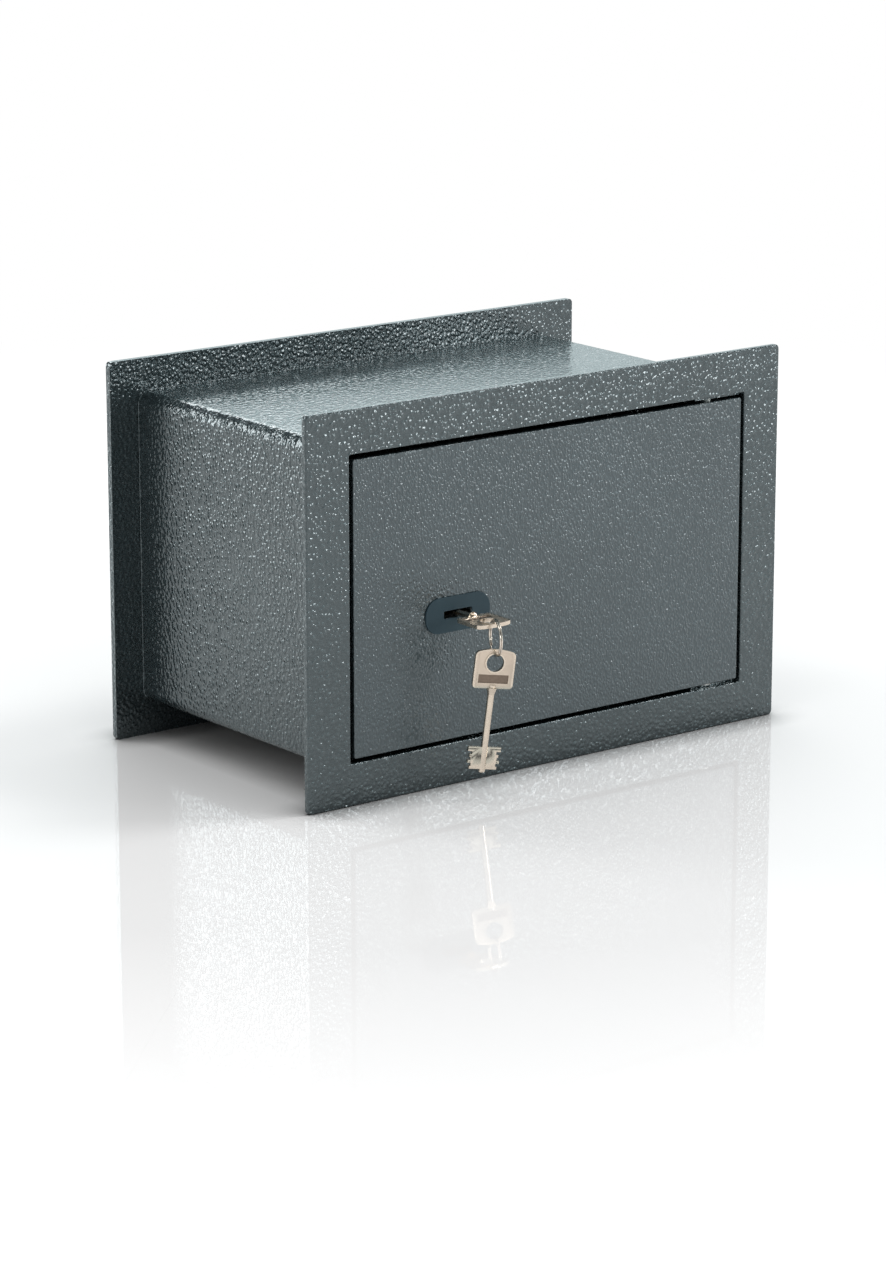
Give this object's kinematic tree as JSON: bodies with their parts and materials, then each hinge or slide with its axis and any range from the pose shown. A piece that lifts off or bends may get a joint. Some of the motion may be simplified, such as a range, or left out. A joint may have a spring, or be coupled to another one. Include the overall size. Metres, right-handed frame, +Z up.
{
  "type": "wall safe",
  "caption": "Flanged steel wall safe with a hinged flush door, double-bit lever lock, sliding round bolts, key in the lock and spare key on a split ring.",
  "frame": {"origin": "centre of the four anchor holes, on the back face of the rear plate", "axes": "+X to the right seen from the front, +Y into the wall (the front face is at -Y), +Z up"},
  "size_m": [0.35, 0.246, 0.23],
  "materials": {
    "hammertone_paint": "glossy hammertone powder coat",
    "escutcheon_plastic": "satin",
    "hard_steel": "ground",
    "bright_steel": "zinc plated",
    "lock_brass": "satin",
    "nickel_key": "nickel plated",
    "ring_nickel": "nickel plated wire"
  },
  "bodies": {
    "safe_body": {"front_frame": "hammertone_paint", "body_shell": "hammertone_paint", "rear_plate": "hammertone_paint", "rear_welds": "hammertone_paint", "front_welds": "hammertone_paint", "upper_hinge_bracket": "hammertone_paint", "lower_hinge_bracket": "hammertone_paint", "hinge_washer": "bright_steel"},
    "door": {"door_plate": "hammertone_paint", "escutcheon": "escutcheon_plastic", "drill_plate": "hard_steel", "upper_hinge_lug": "hammertone_paint", "lower_hinge_lug": "hammertone_paint", "upper_hinge_pin": "bright_steel", "lower_hinge_pin": "bright_steel", "fixed_dogs": "hammertone_paint", "upper_bolt_guide": "hammertone_paint", "lower_bolt_guide": "hammertone_paint", "lock_standoffs": "bright_steel", "lock_case": "bright_steel", "lock_cover": "bright_steel", "lock_screws": "bright_steel", "lever_posts": "bright_steel", "lever_springs": "bright_steel", "door_cover": "hammertone_paint", "cover_posts": "bright_steel", "cover_screws": "bright_steel"},
    "key_drum": {"key_drum": "lock_brass", "drum_clip": "bright_steel"},
    "bolt_work": {"bolt_bar": "bright_steel", "bar_rivets": "bright_steel", "bolt_stump": "bright_steel", "upper_bolt": "bright_steel", "lower_bolt": "bright_steel"},
    "lever_pack": {"lever_1": "lock_brass", "lever_2": "lock_brass", "lever_3": "lock_brass", "lever_4": "lock_brass", "lever_5": "lock_brass", "lever_6": "lock_brass"},
    "key": {"key": "nickel_key"},
    "key_ring": {"split_ring": "ring_nickel"},
    "spare_key": {"spare_key": "nickel_key"}
  },
  "joints": [
    {"name": "door_hinge", "type": "hinge", "parent": "safe_body", "child": "door", "pos_m": [0.1255, -0.191, 0], "axis": [0, 0, 1], "range_deg": [0, 110]},
    {"name": "key_turn", "type": "hinge", "parent": "door", "child": "key_drum", "pos_m": [-0.069, -0.2, -0.013], "axis": [0, -1, 0], "range_deg": [0, 180]},
    {"name": "bolt_throw", "type": "slide", "parent": "door", "child": "bolt_work", "axis": [-1, 0, 0], "range_m": [0, 0.012]},
    {"name": "lever_lift", "type": "slide", "parent": "door", "child": "lever_pack", "axis": [0, 0, 1], "range_m": [0, 0.002], "stiffness_N_per_m": 300, "springref_m": -0.008, "deforming": ["lever_springs"]},
    {"name": "key_withdraw", "type": "slide", "parent": "key_drum", "child": "key", "axis": [0, -1, 0], "range_m": [0, 0.06]},
    {"name": "ring_swing", "type": "hinge", "parent": "key", "child": "key_ring", "pos_m": [-0.069, -0.2356, -0.013], "axis": [-1, 0, 0], "range_deg": [0, 180]},
    {"name": "spare_swing", "type": "hinge", "parent": "key_ring", "child": "spare_key", "pos_m": [-0.069, -0.2356, -0.03095], "axis": [-0.3518, -0.9361, 0], "range_deg": [-35, 45]}
  ],
  "couplings": [
    {"joint": "key_turn", "follows": "bolt_throw", "rad_per_m": 261.8},
    {"joint": "ring_swing", "follows": "bolt_throw", "rad_per_m": 261.8}
  ]
}
